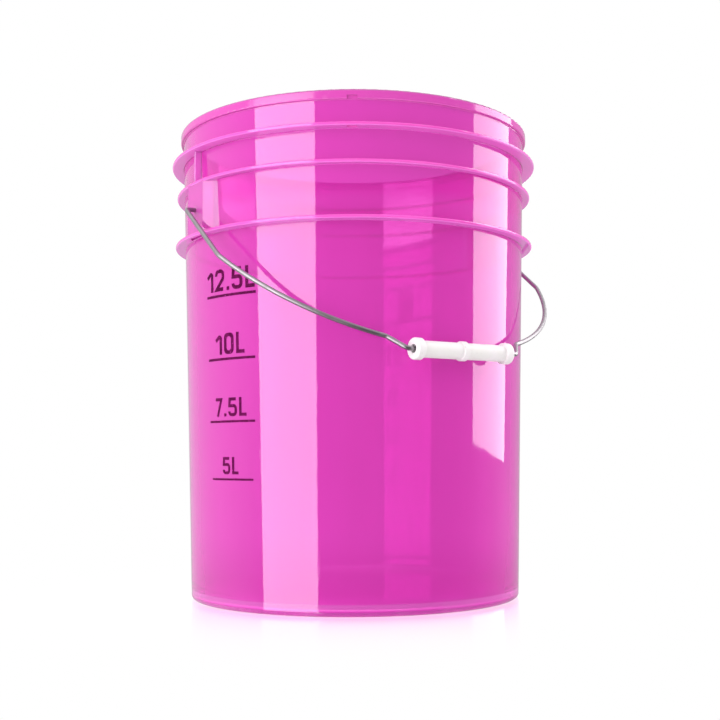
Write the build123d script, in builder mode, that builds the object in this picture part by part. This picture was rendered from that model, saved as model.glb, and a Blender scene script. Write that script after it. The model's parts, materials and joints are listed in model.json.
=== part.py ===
"""Wash bucket: a clear 20 litre pail with a wire bail, a loose tube grip and a printed litre scale.

Frame: millimetres, +Z up, origin on the pail's axis at the plane it stands on. The ears and the
bail's pivots are on +X and -X. At rest the bail hangs to the front (-Y), its grip against the wall.
"""
from build123d import *
import os
from math import acos, cos, degrees, radians, sin, sqrt

os.makedirs("parts", exist_ok=True)

# ---- pail -----------------------------------------------------------------------------------
PAIL_HEIGHT = 377.0
WALL_R_BOTTOM = 132.5          # outer radius of the wall, carried down to z = 0
WALL_TAPER = 0.0250            # growth of that radius per millimetre of height
WALL_T = 2.3
FLOOR_T = 2.8
FLOOR_CORNER_R = 7.0
FOOT_H = 5.0                   # height of the foot ring under the floor
FOOT_W = 5.8
FOOT_EDGE_R = 3.6
GATE_R = 9.0                   # dimple round the injection point, under the floor
GATE_DEPTH = 0.8

LIP_R = 144.0
LIP_H = 7.4
LIP_EDGE_R = 2.0

FLANGE_T = 2.6
FLANGE_EDGE_R = 1.1
TOP_FLANGE = (349.7, 150.7)    # height of its middle, outer radius
MIDDLE_FLANGE = (323.9, 146.5)
LOW_FLANGE = (283.3, 147.6)
ROOT_R = 0.5                   # inside corners of the lip and the flanges

# ---- ears that carry the bail ---------------------------------------------------------------
PIVOT_Z = 302.2
EAR_FACE_X = 146.0
EAR_FACE_HALF_W = 13.0
EAR_FOOT_HALF_W = 25.0
EAR_SKIN_T = 2.1
EAR_EDGE_R = 0.8
EAR_ROOT_R = 7.5               # where its flanks run out into the wall
WEB_T = 2.2                    # the web stands above the ear, between the two upper flanges
WEB_X = 146.6
WEB_EDGE_R = 0.4
WEB_ROOT_R = 1.2

# ---- index marks: a notch in the lip's low edge and a drain slot through the top flange --------
INDEX_ANGLE = -33.6            # from the front (-Y) towards +X
INDEX_W = 7.4
NOTCH_H = 2.8
NOTCH_DEPTH = 1.4
SLOT_INNER_R = 143.0
SLOT_OUTER_R = 148.6

# ---- bail wire ------------------------------------------------------------------------------
WIRE_R = 1.75
EAR_HOLE_CLEARANCE = 0.08
LEG_X = 153.7                  # the legs clear the top flange as the bail swings over
LEG_LENGTH = 69.2
EAR_BEND_R = 3.2
LEG_BEND_R = 12.0
BOW_R = 162.5
BOW_END_ANGLE = 66.5
SHOULDER_RUN = 5.0
SHOULDER_X = 50.3
SHOULDER_BEND_R = 5.0
GRIP_REACH = 184.0             # pivot axis to grip axis
HEAD_R = 3.0                   # the upset end that keeps the wire in its ear
HEAD_T = 1.3
HEAD_GAP = 0.4
HEAD_EDGE_R = 0.4

# ---- grip -----------------------------------------------------------------------------------
GRIP_HALF_L = 43.9
GRIP_R = 6.1
COLLAR_R = 7.9
COLLAR_W = 6.2
RING_R = 7.2
RING_W = 5.0
GRIP_EDGE_R = 1.2              # outer edge at each end
STEP_EDGE_R = 0.6              # outer and inner edges of the steps along the grip
STEP_ROOT_R = 0.35
BORE_CLEARANCE = 0.10
MOUTH_R = 3.0
MOUTH_DEPTH = 5.0
GRIP_SLID = -1.4               # the grip rests this far off the middle of the wire
GRIP_TO_WALL = 0.3

# ---- printed litre scale --------------------------------------------------------------------
SCALE_ANGLE = -75.9            # from the front (-Y) towards +X
INK_T = 0.2
STROKE = 0.165                 # widths inside a caption are shares of its height
LETTER_GAP = 0.18
CORNER_R = 0.17
TIP_R = 0.09
LINE_T = 0.115
LEVELS = (                     # caption, its height, its base z, line z, line length
    ("12.5L", 16.5, 237.1, 233.5, 54.2),
    ("10L", 15.8, 189.3, 185.8, 51.4),
    ("7.5L", 13.8, 143.0, 139.2, 49.5),
    ("5L", 12.7, 100.2, 96.4, 44.7),
)


def wall_r(z):
    """Outer radius of the wall at height z."""
    return WALL_R_BOTTOM + WALL_TAPER * z


def outward_plane(angle, radius, z):
    """Plane facing away from the axis, at an angle measured from the front (-Y) towards +X."""
    out = Vector(sin(radians(angle)), -cos(radians(angle)), 0)
    return Plane(origin=out * radius + Vector(0, 0, z), x_dir=(-out.Y, out.X, 0), z_dir=out)


def rounded_outline(corners):
    """Closed outline, in the open line builder, through corners given as (u, v, corner radius)."""
    FilletPolyline([(u, v) for u, v, _ in corners], radius=[c for _, _, c in corners], close=True)


# ---- pail body ------------------------------------------------------------------------------
def flange_corners(flange):
    """The four corners of one hoop flange, from its top root to its low root."""
    height, radius = flange
    top = height + FLANGE_T / 2
    low = height - FLANGE_T / 2
    return [
        (wall_r(top), top, ROOT_R),
        (radius, top, FLANGE_EDGE_R),
        (radius, low, FLANGE_EDGE_R),
        (wall_r(low), low, ROOT_R),
    ]


def pail_corners():
    """Corners of the pail's half section as (radius, z, corner radius), starting on the axis."""
    floor_top = FOOT_H + FLOOR_T
    lip_low = PAIL_HEIGHT - LIP_H
    foot_inner = wall_r(0) - FOOT_W
    return [
        (0, floor_top, 0),
        (wall_r(floor_top) - WALL_T, floor_top, FLOOR_CORNER_R),
        (wall_r(PAIL_HEIGHT) - WALL_T, PAIL_HEIGHT, LIP_EDGE_R / 2),
        (LIP_R, PAIL_HEIGHT, LIP_EDGE_R),
        (LIP_R, lip_low, LIP_EDGE_R / 2),
        (wall_r(lip_low), lip_low, ROOT_R),
        *flange_corners(TOP_FLANGE),
        *flange_corners(MIDDLE_FLANGE),
        *flange_corners(LOW_FLANGE),
        (wall_r(0), 0, FOOT_EDGE_R),
        (foot_inner, 0, LIP_EDGE_R / 2),
        (foot_inner, FOOT_H, LIP_EDGE_R / 2),
        (GATE_R + GATE_DEPTH, FOOT_H, 0),
        (GATE_R, FOOT_H + GATE_DEPTH, 0),
        (0, FOOT_H + GATE_DEPTH, 0),
    ]


def ear_corners(inset):
    """Plan corners of the ear on +X as (x, y, corner radius), drawn in from its skin by inset."""
    low_r = wall_r(LOW_FLANGE[0])
    foot_x = sqrt(low_r**2 - EAR_FOOT_HALF_W**2)
    slope = (EAR_FOOT_HALF_W - EAR_FACE_HALF_W) / (EAR_FACE_X - foot_x)
    side = inset * sqrt(1 + slope**2)
    face_half = EAR_FACE_HALF_W + slope * inset - side
    run_out = EAR_FOOT_HALF_W + EAR_ROOT_R
    half = [
        (sqrt(low_r**2 - run_out**2), run_out, 0),
        (foot_x, EAR_FOOT_HALF_W - side, EAR_ROOT_R),
        (EAR_FACE_X - inset, face_half, EAR_EDGE_R),
    ]
    return [(x, -y, c) for x, y, c in half] + half[::-1]


def web_corners():
    """Plan corners of the web above the ear on +X, with its roots run out into the wall."""
    inner_x = wall_r(MIDDLE_FLANGE[0]) - WALL_T / 2
    run_out = WEB_T / 2 + 1.2 * WEB_ROOT_R
    wall_x = sqrt(wall_r(MIDDLE_FLANGE[0]) ** 2 - run_out**2)
    half = [
        (inner_x, run_out, 0),
        (wall_x, run_out, 0),
        (wall_x, WEB_T / 2, WEB_ROOT_R),
        (WEB_X, WEB_T / 2, WEB_EDGE_R),
    ]
    return [(x, -y, c) for x, y, c in half] + half[::-1]


ear_low = LOW_FLANGE[0]
ear_high = MIDDLE_FLANGE[0]
pocket_low = ear_low - FLANGE_T
pocket_high = ear_high - FLANGE_T / 2

with BuildPart() as pail_body:
    # wall, floor, foot ring, lip and flanges are one turned section
    with BuildSketch(Plane.XZ):
        with BuildLine():
            rounded_outline(pail_corners())
        make_face()
    revolve(axis=Axis.Z)

    for turn in (0, 180):
        # ear: a hollow block between the two lower flanges, open below through the low flange
        with BuildSketch(Plane.XY.offset(ear_low).rotated((0, 0, turn))):
            with BuildLine():
                rounded_outline(ear_corners(0))
            make_face()
            Circle(wall_r(ear_low) - WALL_T / 2, mode=Mode.SUBTRACT)
        extrude(amount=ear_high - ear_low)
        with BuildSketch(Plane.XY.offset(pocket_low).rotated((0, 0, turn))):
            with BuildLine():
                rounded_outline(ear_corners(EAR_SKIN_T))
            make_face()
            Circle(wall_r(ear_high), mode=Mode.SUBTRACT)
        extrude(amount=pocket_high - pocket_low, mode=Mode.SUBTRACT)
        with BuildSketch(outward_plane(90 + turn, EAR_FACE_X - EAR_SKIN_T - HEAD_GAP, PIVOT_Z)):
            Circle(WIRE_R + EAR_HOLE_CLEARANCE)
        extrude(amount=EAR_SKIN_T + 2 * HEAD_GAP, mode=Mode.SUBTRACT)

        # web above the ear
        with BuildSketch(Plane.XY.offset(ear_high).rotated((0, 0, turn))):
            with BuildLine():
                rounded_outline(web_corners())
            make_face()
        extrude(amount=TOP_FLANGE[0] - ear_high)

    # index marks
    lip_low = PAIL_HEIGHT - LIP_H
    with BuildSketch(outward_plane(INDEX_ANGLE, LIP_R - NOTCH_DEPTH, lip_low + NOTCH_H / 2)):
        Rectangle(INDEX_W, NOTCH_H)
    extrude(amount=2 * NOTCH_DEPTH, mode=Mode.SUBTRACT)
    with BuildSketch(outward_plane(INDEX_ANGLE, SLOT_INNER_R, TOP_FLANGE[0])):
        Rectangle(INDEX_W, 2 * FLANGE_T)
    extrude(amount=SLOT_OUTER_R - SLOT_INNER_R, mode=Mode.SUBTRACT)
pail_body.part.label = "pail_body"
export_step(pail_body.part, "parts/pail_body.step")


# ---- the bail's plane, at the angle where its grip meets the wall ----------------------------
def rest_angle():
    """Degrees below the horizontal at which the grip's ring stands GRIP_TO_WALL off the wall."""
    angle = radians(45)
    for _ in range(20):
        grip_z = PIVOT_Z - GRIP_REACH * sin(angle)
        angle = acos((wall_r(grip_z) + RING_R + GRIP_TO_WALL) / GRIP_REACH)
    return degrees(angle)


REST_ANGLE = rest_angle()
bail_down = radians(REST_ANGLE)
bail_plane = Plane(origin=(0, 0, PIVOT_Z), x_dir=(1, 0, 0), z_dir=(0, sin(bail_down), -cos(bail_down)))
print(f"bail rests {REST_ANGLE:.3f} degrees below the horizontal and swings {180 + 2 * REST_ANGLE:.3f}")

# ---- bail wire: half is swept from the ear to the middle, then mirrored ----------------------
head_x = EAR_FACE_X - EAR_SKIN_T - HEAD_GAP - HEAD_T
bend_x = LEG_X - LEG_BEND_R
bow_rise = sqrt((BOW_R - LEG_BEND_R) ** 2 - bend_x**2)
bow_centre = LEG_LENGTH - bow_rise
bow_start_angle = degrees(acos(bend_x / (BOW_R - LEG_BEND_R)))
bow_end = radians(BOW_END_ANGLE)
bow_end_point = (BOW_R * cos(bow_end), bow_centre + BOW_R * sin(bow_end))
shoulder_point = (
    bow_end_point[0] - SHOULDER_RUN * sin(bow_end),
    bow_end_point[1] + SHOULDER_RUN * cos(bow_end),
)

with BuildPart() as bail_wire:
    with BuildLine(bail_plane) as half_bail:
        FilletPolyline((head_x, 0), (LEG_X, 0), (LEG_X, LEG_LENGTH), radius=EAR_BEND_R)
        CenterArc((bend_x, LEG_LENGTH), LEG_BEND_R, 0, bow_start_angle)
        CenterArc((0, bow_centre), BOW_R, bow_start_angle, BOW_END_ANGLE - bow_start_angle)
        FilletPolyline(
            bow_end_point, shoulder_point, (SHOULDER_X, GRIP_REACH), (0, GRIP_REACH), radius=SHOULDER_BEND_R
        )
    with BuildSketch(outward_plane(90, head_x, PIVOT_Z)):
        Circle(WIRE_R)
    sweep()
    with BuildSketch(outward_plane(90, head_x, PIVOT_Z)):
        Circle(HEAD_R)
    extrude(amount=HEAD_T)
    head_rims = bail_wire.edges().filter_by(GeomType.CIRCLE).filter_by(lambda rim: rim.radius == HEAD_R)
    fillet(head_rims, HEAD_EDGE_R)
    mirror(about=Plane.YZ)
bail_wire.part.label = "bail_wire"
export_step(bail_wire.part, "parts/bail_wire.step")

# ---- grip: one turned section about the wire's straight middle -------------------------------
grip_plane = bail_plane.shift_origin(bail_plane.from_local_coords((GRIP_SLID, GRIP_REACH, 0)))
collar_in = GRIP_HALF_L - COLLAR_W
mouth_in = GRIP_HALF_L - MOUTH_DEPTH
bore_r = WIRE_R + BORE_CLEARANCE

with BuildPart() as grip:
    with BuildSketch(grip_plane):
        with BuildLine():
            right_half = [
                (RING_W / 2, RING_R, STEP_EDGE_R),
                (RING_W / 2, GRIP_R, STEP_ROOT_R),
                (collar_in, GRIP_R, STEP_ROOT_R),
                (collar_in, COLLAR_R, STEP_EDGE_R),
                (GRIP_HALF_L, COLLAR_R, GRIP_EDGE_R),
                (GRIP_HALF_L, MOUTH_R, STEP_EDGE_R),
                (mouth_in, MOUTH_R, 0),
                (mouth_in - (MOUTH_R - bore_r), bore_r, 0),
            ]
            left_half = [(-u, r, c) for u, r, c in reversed(right_half)]
            rounded_outline(right_half + left_half)
        make_face()
    revolve(axis=Axis(grip_plane.origin, grip_plane.x_dir))
grip.part.label = "grip"
export_step(grip.part, "parts/grip.step")

# ---- printed scale: captions of plain strokes, laid on the wall as a thin conical shell --------
# Each letter is one stroke: its centre line's corners as (x, y, corner radius), in caption heights.
LOW = STROKE / 2
HIGH = 1 - STROKE / 2
LETTERS = {
    "1": [(0, 0.66, 0), (0.38, HIGH, TIP_R), (0.38, 0, 0)],
    "2": [(0, 0.70, 0), (0, HIGH, CORNER_R), (0.50, HIGH, CORNER_R), (0.50, 0.56, CORNER_R),
          (0.02, LOW, 0), (0.50, LOW, 0)],
    "5": [(0.50, HIGH, 0), (0.03, HIGH, 0), (0, 0.56, 0), (0.50, 0.56, CORNER_R),
          (0.50, LOW, CORNER_R), (0, LOW, CORNER_R), (0, 0.26, 0)],
    "7": [(0, HIGH, 0), (0.49, HIGH, 0), (0.17, 0, 0)],
    "L": [(0, 1, 0), (0, LOW, 0), (0.43, LOW, 0)],
}
ZERO_W = 0.50
ZERO_OUTER_R = 0.24


def letter_width(letter):
    """Width of a letter from outside to outside, in caption heights."""
    if letter == ".":
        return STROKE
    if letter == "0":
        return ZERO_W + STROKE
    return max(x for x, _, _ in LETTERS[letter]) + STROKE


def draw_letter(letter, left, height):
    """Draw one letter into the open sketch, its left edge at left and its base on y = 0."""
    middle_x = left + letter_width(letter) * height / 2
    if letter == ".":
        with Locations((middle_x, STROKE * height / 2)):
            Rectangle(STROKE * height, STROKE * height)
    elif letter == "0":
        with Locations((middle_x, height / 2)):
            RectangleRounded((ZERO_W + STROKE) * height, height, ZERO_OUTER_R * height)
            RectangleRounded(
                (ZERO_W - STROKE) * height,
                (1 - 2 * STROKE) * height,
                (ZERO_OUTER_R - STROKE / 2) * height,
                mode=Mode.SUBTRACT,
            )
    else:
        stroke = LETTERS[letter]
        start_x = left + STROKE * height / 2
        with BuildLine() as centre_line:
            FilletPolyline(
                [(start_x + x * height, y * height) for x, y, _ in stroke],
                radius=[c * height for _, _, c in stroke[1:-1]],
            )
        trace(centre_line.edges(), line_width=STROKE * height)


def ink_shell(low, high):
    """Thin conical shell on the wall between two heights, which trims an ink print to the wall."""
    with BuildPart() as shell:
        with BuildSketch(Plane.XZ):
            with BuildLine():
                Polyline(
                    (wall_r(low), low),
                    (wall_r(low) + INK_T, low),
                    (wall_r(high) + INK_T, high),
                    (wall_r(high), high),
                    close=True,
                )
            make_face()
        revolve(axis=Axis.Z)
    return shell.part


INK_REACH = 12                 # depth of the straight print before the shell trims it
for caption, height, base_z, line_z, line_length in LEVELS:
    name = caption.replace(".", "_")
    total = sum(letter_width(letter) for letter in caption) + LETTER_GAP * (len(caption) - 1)
    print_radius = wall_r(base_z) - INK_REACH / 2

    with BuildPart() as mark:
        with BuildSketch(outward_plane(SCALE_ANGLE, print_radius, base_z)):
            left = -total * height / 2
            for letter in caption:
                draw_letter(letter, left, height)
                left += (letter_width(letter) + LETTER_GAP) * height
        extrude(amount=INK_REACH)
        add(ink_shell(base_z - height, base_z + 2 * height), mode=Mode.INTERSECT)
    mark.part.label = f"scale_mark_{name}"
    export_step(mark.part, f"parts/scale_mark_{name}.step")

    with BuildPart() as line:
        with BuildSketch(outward_plane(SCALE_ANGLE, print_radius, line_z)):
            Rectangle(line_length, LINE_T * height)
        extrude(amount=INK_REACH)
        add(ink_shell(line_z - height, line_z + height), mode=Mode.INTERSECT)
    line.part.label = f"scale_line_{name}"
    export_step(line.part, f"parts/scale_line_{name}.step")
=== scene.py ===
"""Looks of the wash bucket: camera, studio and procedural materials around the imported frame."""
import json
from math import cos, pi, radians, sin

import bpy
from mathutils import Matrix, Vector

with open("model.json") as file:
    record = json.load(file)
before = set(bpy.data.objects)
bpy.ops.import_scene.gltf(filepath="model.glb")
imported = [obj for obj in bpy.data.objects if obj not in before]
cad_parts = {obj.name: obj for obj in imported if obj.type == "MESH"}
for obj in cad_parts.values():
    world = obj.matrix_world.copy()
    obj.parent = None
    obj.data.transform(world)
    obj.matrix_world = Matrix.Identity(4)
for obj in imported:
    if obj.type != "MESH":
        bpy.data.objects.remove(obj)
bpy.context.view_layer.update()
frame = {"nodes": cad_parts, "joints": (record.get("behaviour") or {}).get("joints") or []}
joint_at = {joint["name"]: joint["pos_m"] for joint in frame["joints"]}

# ---- camera, metres and degrees, about the pail's axis ---------------------------------------
CAMERA_AZIMUTH = -33.3         # from the front (-Y) towards +X
CAMERA_DISTANCE = 0.9336
CAMERA_HEIGHT = 0.1151
CAMERA_TILT = 4.75             # upwards
CAMERA_YAW = 0.295             # to the right, so the pail stands left of the middle
CAMERA_ROLL = -0.27
CAMERA_LENS = 56.2

# ---- studio ----------------------------------------------------------------------------------
SURROUND = 0.5                 # what the pail reflects and what is seen through it
OVERHEAD = 1.2                 # the same high above
OVERHEAD_FROM = (0.35, 0.85)   # upward part of a direction, from the one level to the other
SIDE_GLOWS = ((-120, 0.4), (120, 0.05))     # degrees from the camera's azimuth, extra light
SIDE_SPREAD = (0.5, 1.0)       # cosine of the angle to a glow's middle, from none of it to all
DARK_AHEAD = 0.36              # taken off what the surfaces show of the camera's side
DARK_TURN = 25                 # its middle, in degrees from the camera's azimuth
DARK_SPREAD = (-0.2, 0.8)      # and its cosines
BACKGROUND = 1.0               # what the camera sees behind the pail
TABLE_SIZE = 12
TABLE_GLOW = 1.0               # the white table as the camera sees it
TABLE_LIGHT = 1.15             # and as it lights the pail from below
FOOT_R = 0.132                 # the table's polish fades from the pail's foot outwards
POLISH = 1.3
POLISH_REACH = 0.033
POLISH_ROUGHNESS = 0.12
LEFT_BOX_FADE = (0.79, 0.87)   # heights between which the left soft box dims
LEFT_BOX_ABOVE = 0.5           # what is left of it above them

# ---- sizes, as the CAD model has them --------------------------------------------------------
WALL_R_BOTTOM = 0.1325
WALL_TAPER = 0.025
WALL_T = 0.0023
FLOOR_TOP = 0.0078
LIP_LOW = 0.3696
RIM_LOW = 0.3750
EAR_X = 0.130                  # the ears and webs lie further out than this
EAR_HALF_W = 0.027
WEB_LOW = 0.3254
EAR_LEVELS = ((0.2847, 0.3224), (WEB_LOW, 0.3483))
GRIP_BODY_R = 0.0061

# ---- distances between which the look changes, from none to all of it ------------------------
EAR_SCRAPES = (0.0065, 0.003)  # from the axis of the holes in the ears
WIRE_POLISH = (0.053, 0.046)   # from the middle of the wire
GRIP_BODY = (GRIP_BODY_R + 0.0006, GRIP_BODY_R - 0.0002)        # from the axis of the grip

# ---- material slots of the pail, and the slack and limits that tell its faces apart ----------
WALL, INSIDE, EDGE, EAR = range(4)
LEVEL_SLACK = 0.0005
RADIUS_SLACK = 0.0003
FACING_AXIS = -0.3             # outward part of a normal
FACING_UP = 0.5                # upward part

# ---- heights between which the look changes, from none to all of it --------------------------
LOW_WALL = (0.06, 0.012)
HIGH_WALL = (0.296, 0.310)
LINE_BOTTOM = (0.0038, 0.0048)
LINE_TOP = (0.0094, 0.0082)
FOOT_SHADE_TOP = (0.0040, 0.0030)
SCUFFED_FOOT = (0.012, 0.0)
BELOW_LIP = (LIP_LOW - 0.002, LIP_LOW - 0.004)
RIM_TOP = (RIM_LOW, RIM_LOW + 0.0015)
WEB_FROM = (WEB_LOW - 0.002, WEB_LOW)
WORN_PRINTS = (0.28, 0.16)

# ---- materials: depths of bumps in metres, colours linear ------------------------------------
PLASTIC_IOR = 1.49
FINE_RELIEF = 0.00001
RELIEF = 0.00002
GRIP_RELIEF = 0.00003
HIGH_SHARE = 0.75              # how much of PLASTIC_HIGH_PAINTED_SHADE there is on the high wall
PLASTIC_DEEP = (0.87, 0.069, 0.60, 1)
PLASTIC_PALE = (0.99, 0.083, 0.70, 1)
# Painted shade: a deeper colour for the high wall.
PLASTIC_HIGH_PAINTED_SHADE = (0.92, 0.027, 0.57, 1)
# Painted shade: a darker colour for the low wall.
PLASTIC_LOW_PAINTED_SHADE = (0.81, 0.053, 0.54, 1)
# Painted shade: a darker colour for the lowest part of the foot, a contact shadow.
PLASTIC_FOOT_PAINTED_SHADE = (0.60, 0.08, 0.44, 1)
# Painted highlight: the colour of the bright line at the floor's level.
PLASTIC_LINE_PAINTED_HIGHLIGHT = (1.0, 0.155, 0.74, 1)
EDGE_DEEP = (0.86, 0.088, 0.54, 1)
EDGE_PALE = (0.94, 0.112, 0.62, 1)
EAR_DEEP = (0.89, 0.13, 0.67, 1)
EAR_PALE = (0.95, 0.16, 0.74, 1)
# Painted light: the paler colour of the webs.
WEB_PAINTED_LIGHT = (1.0, 0.32, 0.90, 1)
LIP_COLOUR = (0.68, 0.062, 0.44, 1)
# Painted shade: the darker colour of the rim's top.
RIM_PAINTED_SHADE = (0.42, 0.09, 0.31, 1)
# Painted light: the paler colour of faces that look down.
EDGE_BELOW_PAINTED_LIGHT = (1.0, 0.25, 0.86, 1)
SCUFF = (0.95, 0.45, 0.80, 1)
INSIDE_DEEP = (0.92, 0.56, 0.82, 1)
INSIDE_PALE = (0.98, 0.64, 0.88, 1)
ZINC_DARK = (0.285, 0.26, 0.28, 1)
ZINC_LIGHT = (0.425, 0.395, 0.42, 1)
ZINC_DULL = (0.44, 0.415, 0.435, 1)
WHITE = (0.76, 0.71, 0.74, 1)
WHITE_AGED = (0.72, 0.69, 0.68, 1)
GRIME = (0.46, 0.42, 0.40, 1)
INK = (0.066, 0.002, 0.035, 1)
INK_THIN = (0.12, 0.004, 0.066, 1)
INK_HOLE = (0.55, 0.03, 0.35, 1)


def around(azimuth, distance, height):
    """Point at an azimuth from the front (-Y) towards +X, a distance and a height."""
    return Vector((distance * sin(radians(azimuth)), -distance * cos(radians(azimuth)), height))


def make_camera():
    """Camera on the side of the pail that has the litre scale and the hanging grip."""
    camera = bpy.data.objects.new("camera", bpy.data.cameras.new("camera"))
    camera.location = around(CAMERA_AZIMUTH, CAMERA_DISTANCE, CAMERA_HEIGHT)
    camera.rotation_euler = (radians(90 + CAMERA_TILT), 0, radians(CAMERA_AZIMUTH - CAMERA_YAW))
    camera.rotation_euler.rotate_axis("Z", radians(CAMERA_ROLL))
    camera.data.lens = CAMERA_LENS
    camera.data.sensor_width = 36
    bpy.context.scene.collection.objects.link(camera)
    bpy.context.scene.camera = camera


# ---- shader nodes ----------------------------------------------------------------------------
def fill(tree, sockets, values):
    """Set or link sockets in order."""
    for socket, value in zip(sockets, values):
        if isinstance(value, bpy.types.NodeSocket):
            tree.links.new(value, socket)
        else:
            socket.default_value = value


def add_node(tree, kind, settings=None, **inputs):
    """New shader node. Inputs take a value or an output socket; their names have _ for spaces."""
    made = tree.nodes.new(kind)
    for name, value in (settings or {}).items():
        setattr(made, name, value)
    fill(tree, [made.inputs[name.replace("_", " ")] for name in inputs], inputs.values())
    return made


def calc(tree, operation, *values):
    """Output of a Math node."""
    made = add_node(tree, "ShaderNodeMath", {"operation": operation})
    fill(tree, made.inputs, values)
    return made.outputs[0]


def vector(tree, operation, *values):
    """Output of a Vector Math node: a number for DOT_PRODUCT and LENGTH, else a vector."""
    made = add_node(tree, "ShaderNodeVectorMath", {"operation": operation})
    fill(tree, made.inputs, values)
    return made.outputs["Value" if operation in ("DOT_PRODUCT", "LENGTH") else "Vector"]


def ramp(tree, value, low, high, out_low=0.0, out_high=1.0):
    """Smooth step of a value from low to high, clamped."""
    made = add_node(tree, "ShaderNodeMapRange", {"interpolation_type": "SMOOTHSTEP"})
    fill(tree, made.inputs, (value, low, high, out_low, out_high))
    return made.outputs[0]


def mix(tree, factor, first, second):
    """Blend of two numbers or two colours."""
    colour = isinstance(first, tuple) or isinstance(second, tuple)
    made = add_node(tree, "ShaderNodeMix", {"data_type": "RGBA" if colour else "FLOAT"})
    ends = (made.inputs[6], made.inputs[7]) if colour else (made.inputs[2], made.inputs[3])
    fill(tree, (made.inputs[0], *ends), (factor, first, second))
    return made.outputs[2 if colour else 0]


def place_of(tree):
    """Coordinates on the piece itself, in metres."""
    return add_node(tree, "ShaderNodeTexCoord").outputs["Object"]


def height_of(tree, direction):
    """Upward part of a vector."""
    return add_node(tree, "ShaderNodeSeparateXYZ", Vector=direction).outputs["Z"]


def noise(tree, place, scale, detail=2.0, stretch=(1, 1, 1)):
    """Noise between 0 and 1 with grains of 1 / scale metres. A small stretch draws them out."""
    made = add_node(tree, "ShaderNodeTexNoise", Scale=scale, Detail=detail)
    tree.links.new(vector(tree, "MULTIPLY", place, stretch), made.inputs["Vector"])
    return made.outputs[0]


def off_axis(tree, place, joint):
    """Distance from a joint's axis, which lies along X at rest."""
    offset = vector(tree, "SUBTRACT", place, joint_at[joint])
    return vector(tree, "LENGTH", vector(tree, "MULTIPLY", offset, (0, 1, 1)))


def principled(name, **values):
    """New material whose shader sockets are set by name, with _ for spaces."""
    material = bpy.data.materials.new(name)
    material.use_nodes = True
    tree = material.node_tree
    shader = tree.nodes["Principled BSDF"]
    fill(tree, [shader.inputs[socket.replace("_", " ")] for socket in values], values.values())
    return material, tree, shader


def finish(tree, shader, colour, roughness, relief, depth):
    """Link colour and roughness, and bumps of a depth in metres."""
    bump = add_node(tree, "ShaderNodeBump", Height=relief, Distance=depth)
    sockets = (shader.inputs["Base Color"], shader.inputs["Roughness"], shader.inputs["Normal"])
    fill(tree, sockets, (colour, roughness, bump.outputs[0]))


# ---- studio ----------------------------------------------------------------------------------
def make_surround():
    """Grey surround, lighter above, darker on the camera's side, and white behind the pail."""
    world = bpy.data.worlds.new("studio")
    bpy.context.scene.world = world
    world.use_nodes = True
    tree = world.node_tree
    direction = add_node(tree, "ShaderNodeTexCoord").outputs["Generated"]
    level = ramp(tree, height_of(tree, direction), *OVERHEAD_FROM, SURROUND, OVERHEAD)
    for turn, glow in SIDE_GLOWS:
        towards = vector(tree, "DOT_PRODUCT", direction, around(CAMERA_AZIMUTH + turn, 1, 0))
        level = calc(tree, "ADD", level, ramp(tree, towards, *SIDE_SPREAD, 0.0, glow))
    path = add_node(tree, "ShaderNodeLightPath")
    dark_side = around(CAMERA_AZIMUTH + DARK_TURN, 1, 0)
    ahead = ramp(tree, vector(tree, "DOT_PRODUCT", direction, dark_side), *DARK_SPREAD)
    shown = calc(tree, "MULTIPLY", ahead, path.outputs["Is Glossy Ray"])
    level = calc(tree, "MULTIPLY_ADD", shown, -DARK_AHEAD, level)
    background = tree.nodes["Background"]
    background.inputs["Color"].default_value = (1, 1, 1, 1)
    strength = mix(tree, path.outputs["Is Camera Ray"], level, BACKGROUND)
    tree.links.new(strength, background.inputs["Strength"])


def soft_box(name, turn, distance, low, high, width, radiance, lean, roll):
    """Area light that faces the pail's axis and that the camera doesn't see directly.

    Its turn is in degrees from the camera's azimuth. Lean tips its top forwards and roll turns
    it clockwise as the pail sees it, both in degrees.
    """
    height = high - low
    data = bpy.data.lights.new(name, "AREA")
    data.shape = "RECTANGLE"
    data.size = width
    data.size_y = height
    data.energy = radiance * pi * width * height
    box = bpy.data.objects.new(name, data)
    azimuth = CAMERA_AZIMUTH + turn
    box.location = around(azimuth, distance, (low + high) / 2)
    box.rotation_euler = (radians(90 - lean), 0, radians(azimuth))
    box.rotation_euler.rotate_axis("Z", radians(roll))
    box.visible_camera = False
    bpy.context.scene.collection.objects.link(box)
    return box


def fade_top(box, low, high, left_over):
    """Dim a soft box above a height, as a real one dims towards its top."""
    box.data.use_nodes = True
    tree = box.data.node_tree
    place = add_node(tree, "ShaderNodeNewGeometry").outputs["Position"]
    strength = ramp(tree, height_of(tree, place), low, high, 1.0, left_over)
    tree.links.new(strength, tree.nodes["Emission"].inputs["Strength"])


def make_lights():
    """The two soft boxes whose reflections stand as upright stripes on the wall."""
    left = soft_box(
        "soft_box_left",
        turn=-43.3, distance=1.6, low=-0.9, high=1.7, width=1.15,
        radiance=5.2, lean=5.0, roll=1.5,
    )
    fade_top(left, *LEFT_BOX_FADE, LEFT_BOX_ABOVE)
    right = soft_box(
        "soft_box_right",
        turn=101.2, distance=1.5, low=0.05, high=1.7, width=1.09,
        radiance=4.6, lean=12.0, roll=-1.2,
    )
    right.visible_transmission = False


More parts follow.
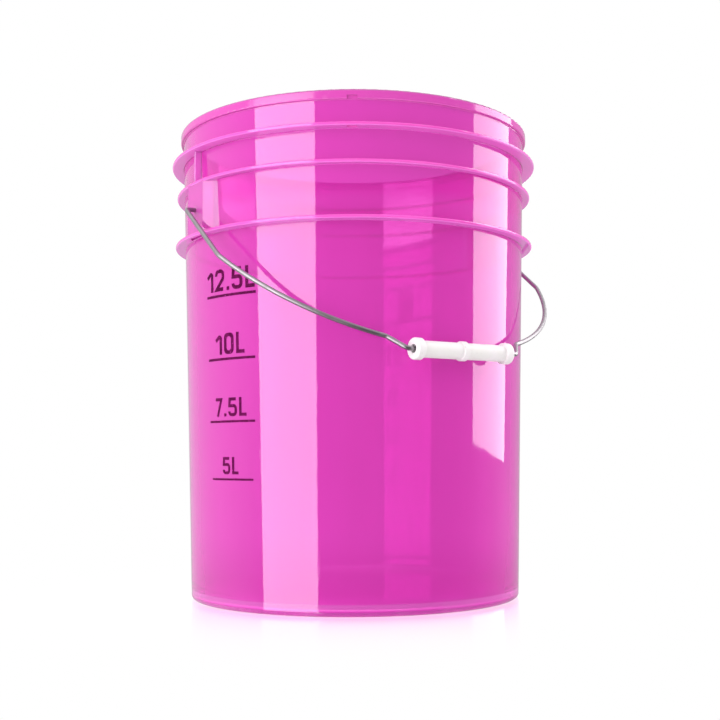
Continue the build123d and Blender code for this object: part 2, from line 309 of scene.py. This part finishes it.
def make_table():
    """White glowing table that mirrors the pail only round its foot."""
    bpy.ops.mesh.primitive_plane_add(size=TABLE_SIZE)
    table = bpy.context.object
    table.name = "table"
    table.visible_glossy = False
    table.visible_transmission = False
    material = bpy.data.materials.new("table")
    material.use_nodes = True
    tree = material.node_tree
    tree.nodes.remove(tree.nodes["Principled BSDF"])
    beyond = calc(tree, "SUBTRACT", vector(tree, "LENGTH", place_of(tree)), FOOT_R)
    reaches = calc(tree, "DIVIDE", calc(tree, "MAXIMUM", beyond, 0.0), -POLISH_REACH)
    fade = calc(tree, "EXPONENT", reaches)
    polish = calc(tree, "MINIMUM", calc(tree, "MULTIPLY", fade, POLISH), 1.0)
    seen = add_node(tree, "ShaderNodeLightPath").outputs["Is Camera Ray"]
    glow = calc(tree, "SUBTRACT", TABLE_GLOW, calc(tree, "MULTIPLY", polish, SURROUND))
    light = add_node(tree, "ShaderNodeEmission", Strength=mix(tree, seen, TABLE_LIGHT, glow))
    mirror = add_node(tree, "ShaderNodeBsdfAnisotropic", Color=polish, Roughness=POLISH_ROUGHNESS)
    both = add_node(tree, "ShaderNodeAddShader")
    fill(tree, both.inputs, (light.outputs[0], mirror.outputs[0]))
    tree.links.new(both.outputs[0], tree.nodes["Material Output"].inputs["Surface"])
    table.data.materials.append(material)


# ---- materials -------------------------------------------------------------------------------
def make_wall():
    """Outside of the wall: deep magenta, with painted shade deepening the high wall and darkening
    the low wall, a painted highlight as a bright line at the floor's level, painted shade at the
    very foot, and a scuffed foot.
    """
    material, tree, shader = principled(
        "clear_magenta_wall",
        IOR=PLASTIC_IOR,
        Specular_IOR_Level=0.85,
        Transmission_Weight=0.6,
    )
    place = place_of(tree)
    height = height_of(tree, place)
    clouds = noise(tree, place, scale=11, detail=3)
    flow = noise(tree, place, scale=70, detail=2, stretch=(1, 1, 0.1))
    smudges = noise(tree, place, scale=26, detail=6)
    streaks = noise(tree, place, scale=500, detail=3, stretch=(1, 1, 0.06))
    scratches = ramp(tree, streaks, 0.64, 0.74)
    ripples = noise(tree, place, scale=90, detail=1)

    colour = mix(tree, mix(tree, 0.4, clouds, flow), PLASTIC_DEEP, PLASTIC_PALE)
    # Painted shade: the high wall is given a deeper colour.
    colour = mix(tree, ramp(tree, height, *HIGH_WALL, 0.0, HIGH_SHARE), colour, PLASTIC_HIGH_PAINTED_SHADE)
    # Painted shade: the wall is darker towards the bottom.
    colour = mix(tree, ramp(tree, height, *LOW_WALL), colour, PLASTIC_LOW_PAINTED_SHADE)
    # Painted highlight: a bright line round the wall at the floor's level.
    above_line_bottom = ramp(tree, height, *LINE_BOTTOM)
    line = calc(tree, "MULTIPLY", above_line_bottom, ramp(tree, height, *LINE_TOP))
    # Painted shade: the lowest few millimetres of the foot are darker, a contact shadow.
    foot = ramp(tree, height, *FOOT_SHADE_TOP)
    colour = mix(tree, line, colour, PLASTIC_LINE_PAINTED_HIGHLIGHT)
    colour = mix(tree, foot, colour, PLASTIC_FOOT_PAINTED_SHADE)
    patches = ramp(tree, smudges, 0.50, 0.68)
    rubbed = calc(tree, "MULTIPLY", patches, ramp(tree, height, *SCUFFED_FOOT))
    colour = mix(tree, calc(tree, "MULTIPLY", rubbed, 0.12), colour, SCUFF)

    roughness = ramp(tree, smudges, 0.45, 0.75, out_low=0.02, out_high=0.05)
    roughness = calc(tree, "MULTIPLY_ADD", scratches, 0.04, roughness)
    roughness = calc(tree, "MULTIPLY_ADD", rubbed, 0.12, roughness)
    relief = calc(tree, "MULTIPLY_ADD", scratches, -0.15, ripples)
    finish(tree, shader, colour, roughness, relief, RELIEF)
    return material


def make_edge():
    """Lip and flanges: cloudier than the wall, pale underneath with painted light, dark at the
    rim with painted shade, rubbed.
    """
    material, tree, shader = principled(
        "clear_magenta_edge",
        IOR=PLASTIC_IOR,
        Specular_IOR_Level=0.75,
        Transmission_Weight=0.24,
    )
    place = place_of(tree)
    height = height_of(tree, place)
    normal = add_node(tree, "ShaderNodeTexCoord").outputs["Normal"]
    clouds = noise(tree, place, scale=40, detail=4)
    rubs = ramp(tree, noise(tree, place, scale=160, detail=5, stretch=(1, 1, 0.6)), 0.58, 0.72)
    ripples = noise(tree, place, scale=220, detail=2)

    # Painted light: faces that look down are paler, less so on the lip.
    underneath = ramp(tree, height_of(tree, normal), -0.2, -0.8)
    below_lip = ramp(tree, height, *BELOW_LIP)
    colour = mix(tree, clouds, EDGE_DEEP, EDGE_PALE)
    colour = mix(tree, below_lip, LIP_COLOUR, colour)
    # Painted shade: the top of the rim is darker.
    colour = mix(tree, ramp(tree, height, *RIM_TOP), colour, RIM_PAINTED_SHADE)
    less_painted_light_on_lip = ramp(tree, below_lip, 0.0, 1.0, out_low=0.25)
    underneath = calc(tree, "MULTIPLY", underneath, less_painted_light_on_lip)
    colour = mix(tree, underneath, colour, EDGE_BELOW_PAINTED_LIGHT)
    colour = mix(tree, calc(tree, "MULTIPLY", rubs, 0.07), colour, SCUFF)
    roughness = ramp(tree, clouds, 0.4, 0.7, out_low=0.06, out_high=0.12)
    roughness = calc(tree, "MULTIPLY_ADD", rubs, 0.12, roughness)
    relief = calc(tree, "MULTIPLY_ADD", rubs, -0.2, ripples)
    finish(tree, shader, colour, roughness, relief, FINE_RELIEF)
    return material


def make_ear():
    """Ears and webs: clearer than the flanges, the webs made pale with painted light, scraped
    round the hole by the wire's end.
    """
    material, tree, shader = principled(
        "clear_magenta_ear",
        IOR=PLASTIC_IOR,
        Specular_IOR_Level=0.6,
        Transmission_Weight=0.6,
    )
    place = place_of(tree)
    near_hole = ramp(tree, off_axis(tree, place, "bail_swing"), *EAR_SCRAPES)
    clouds = noise(tree, place, scale=40, detail=4)
    scratches = ramp(tree, noise(tree, place, scale=320, detail=5), 0.48, 0.60)
    scrapes = calc(tree, "MULTIPLY", near_hole, scratches)
    ripples = noise(tree, place, scale=200, detail=2)

    colour = mix(tree, clouds, EAR_DEEP, EAR_PALE)
    # Painted light: the webs are paler.
    colour = mix(tree, ramp(tree, height_of(tree, place), *WEB_FROM), colour, WEB_PAINTED_LIGHT)
    colour = mix(tree, calc(tree, "MULTIPLY", scrapes, 0.35), colour, SCUFF)
    roughness = ramp(tree, clouds, 0.4, 0.7, out_low=0.03, out_high=0.08)
    roughness = calc(tree, "MULTIPLY_ADD", scrapes, 0.2, roughness)
    relief = calc(tree, "MULTIPLY_ADD", scrapes, -0.5, ripples)
    finish(tree, shader, colour, roughness, relief, FINE_RELIEF)
    return material


def make_inside():
    """Inner skin of the wall and the floor: clear, so that the outside shows through it."""
    material, tree, shader = principled(
        "clear_magenta_inside",
        IOR=PLASTIC_IOR,
        Transmission_Weight=1.0,
        Coat_Weight=0.4,
        Coat_IOR=1.55,
        Coat_Roughness=0.03,
    )
    place = place_of(tree)
    clouds = noise(tree, place, scale=14, detail=3)
    wash_marks = ramp(tree, noise(tree, place, scale=60, detail=5), 0.5, 0.75)
    colour = mix(tree, clouds, INSIDE_DEEP, INSIDE_PALE)
    roughness = ramp(tree, wash_marks, 0.0, 1.0, out_low=0.035, out_high=0.07)
    ripples = noise(tree, place, scale=90, detail=1)
    finish(tree, shader, colour, roughness, ripples, FINE_RELIEF)
    return material


def make_zinc():
    """Drawn steel wire, bright zinc: fine grain, dull patches, polished where the grip turns."""
    material, tree, shader = principled("zinc_wire", Metallic=1.0)
    place = place_of(tree)
    across = add_node(tree, "ShaderNodeSeparateXYZ", Vector=place).outputs["X"]
    clouds = noise(tree, place, scale=120, detail=4)
    grain = noise(tree, place, scale=1800, detail=3)
    dull = ramp(tree, noise(tree, place, scale=260, detail=5), 0.56, 0.68)
    polished = ramp(tree, calc(tree, "ABSOLUTE", across), *WIRE_POLISH)

    colour = mix(tree, mix(tree, 0.35, clouds, grain), ZINC_DARK, ZINC_LIGHT)
    colour = mix(tree, calc(tree, "MULTIPLY", dull, 0.6), colour, ZINC_DULL)
    roughness = ramp(tree, clouds, 0.3, 0.7, out_low=0.40, out_high=0.50)
    roughness = calc(tree, "MULTIPLY_ADD", dull, 0.14, roughness)
    roughness = calc(tree, "MULTIPLY_ADD", polished, -0.1, roughness)
    relief = calc(tree, "MULTIPLY_ADD", dull, 0.4, grain)
    finish(tree, shader, colour, roughness, relief, RELIEF)
    return material


def make_white():
    """Moulded grip: waxy white, a little yellowed, with specks of grime, most on its collars."""
    material, tree, shader = principled("white_plastic", IOR=1.5, Specular_IOR_Level=0.4)
    place = place_of(tree)
    body = ramp(tree, off_axis(tree, place, "grip_spin"), *GRIP_BODY)
    clouds = noise(tree, place, scale=70, detail=4)
    peel = noise(tree, place, scale=700, detail=2)
    specks = ramp(tree, noise(tree, place, scale=420, detail=6), 0.60, 0.70)
    streaks = noise(tree, place, scale=300, detail=3, stretch=(0.25, 1, 1))
    scuffs = ramp(tree, streaks, 0.60, 0.72)

    colour = mix(tree, ramp(tree, clouds, 0.3, 0.7), WHITE, WHITE_AGED)
    dirt = calc(tree, "MULTIPLY", specks, ramp(tree, body, 0.0, 1.0, out_low=0.25, out_high=0.10))
    colour = mix(tree, dirt, colour, GRIME)
    roughness = ramp(tree, clouds, 0.3, 0.7, out_low=0.42, out_high=0.52)
    roughness = calc(tree, "MULTIPLY_ADD", scuffs, -0.10, roughness)
    relief = calc(tree, "MULTIPLY_ADD", scuffs, -0.5, peel)
    finish(tree, shader, colour, roughness, relief, GRIP_RELIEF)
    return material


def make_ink():
    """Pad-printed ink: uneven, thinner on the low prints, with pinholes that show the plastic."""
    material, tree, shader = principled("print_ink", Specular_IOR_Level=0.03)
    place = place_of(tree)
    thin = ramp(tree, noise(tree, place, scale=240, detail=4), 0.40, 0.70)
    worn = ramp(tree, height_of(tree, place), *WORN_PRINTS)
    thin = calc(tree, "MULTIPLY_ADD", worn, 0.4, thin)
    holes = ramp(tree, noise(tree, place, scale=900, detail=3), 0.66, 0.72)
    colour = mix(tree, thin, INK, INK_THIN)
    colour = mix(tree, holes, colour, INK_HOLE)
    roughness = ramp(tree, thin, 0.0, 1.0, out_low=0.55, out_high=0.42)
    grain = noise(tree, place, scale=1500, detail=2)
    finish(tree, shader, colour, roughness, grain, FINE_RELIEF)
    return material


def set_materials(node, *materials):
    """Give a CAD node's object new materials in place of its own."""
    mesh = frame["nodes"][node].data
    mesh.materials.clear()
    for material in materials:
        mesh.materials.append(material)
    return mesh


def pail_slot(face):
    """Material slot of a face of the pail."""
    radial = Vector((face.center.x, face.center.y))
    height = face.center.z
    wall_r = WALL_R_BOTTOM + WALL_TAPER * height
    facing_axis = radial.length > 0 and radial.normalized().dot(face.normal.xy) < FACING_AXIS
    if height > LIP_LOW - LEVEL_SLACK and not facing_axis:
        return EDGE
    if height > FLOOR_TOP - LEVEL_SLACK and radial.length < wall_r - WALL_T / 2:
        return INSIDE if facing_axis or face.normal.z > FACING_UP else WALL
    if radial.length < wall_r + RADIUS_SLACK:
        return WALL
    beside = abs(face.center.x) > EAR_X and abs(face.center.y) < EAR_HALF_W
    return EAR if beside and any(low < height < high for low, high in EAR_LEVELS) else EDGE


def paint():
    """Materials of every piece."""
    pail = set_materials("pail_body", make_wall(), make_inside(), make_edge(), make_ear())
    for face in pail.polygons:
        face.material_index = pail_slot(face)
    set_materials("bail_wire", make_zinc())
    set_materials("grip", make_white())
    ink = make_ink()
    for node in frame["nodes"]:
        if node.startswith("scale_"):
            set_materials(node, ink)


bpy.context.scene.view_settings.view_transform = "Standard"
make_camera()
make_surround()
make_lights()
make_table()
paint()
